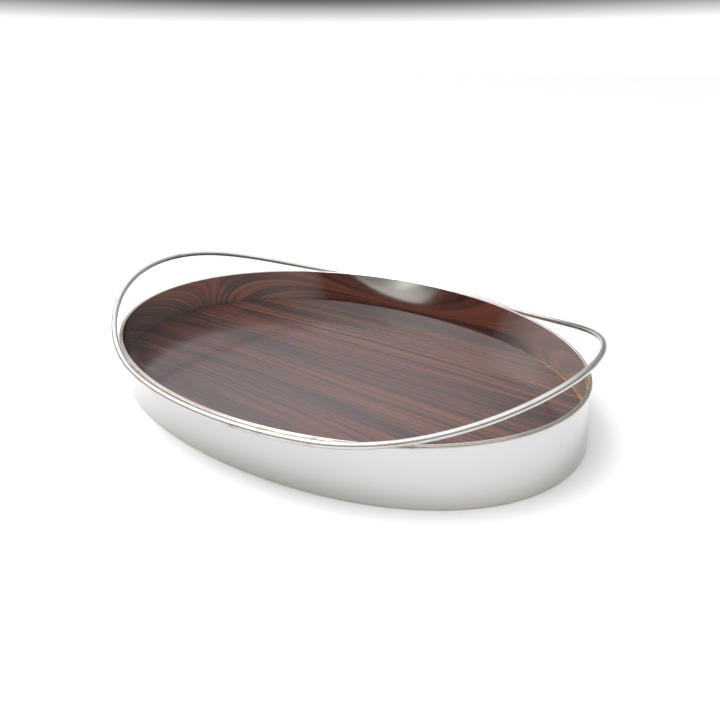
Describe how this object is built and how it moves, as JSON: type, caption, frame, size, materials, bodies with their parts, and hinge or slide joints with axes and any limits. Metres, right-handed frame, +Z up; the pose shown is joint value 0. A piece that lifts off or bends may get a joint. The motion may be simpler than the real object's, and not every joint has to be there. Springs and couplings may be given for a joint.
{
  "type": "serving tray",
  "caption": "Oval serving tray: polished metal band, rosewood-faced floor, and one closed rod round the rim that rises at both ends as handles.",
  "frame": {"origin": "centre of the oval, on the surface the tray rests on", "axes": "+X along the length, +Y across the width, +Z up"},
  "size_m": [0.4766, 0.3548, 0.0912],
  "materials": {
    "band_plate": "polished silver plate",
    "bead_plate": "polished silver plate, lightly tarnished",
    "rod_plate": "polished silver plate with light tarnish",
    "solder": "dull soft solder",
    "lug_brass": "dull brass",
    "screw_brass": "brass",
    "plywood": "raw plywood",
    "backing": "matt brown balancing laminate",
    "rosewood": "glossy rosewood face",
    "filler": "ochre bedding compound"
  },
  "bodies": {
    "root": {"side_band": "band_plate", "rim_bead": "bead_plate", "handle_loop": "rod_plate", "handle_solder_front": "solder", "handle_solder_back": "solder", "support_lugs": "lug_brass", "lug_screws": "screw_brass", "base_board": "plywood", "backing_laminate": "backing", "floor_laminate": "rosewood", "edge_filler": "filler"}
  },
  "joints": []
}
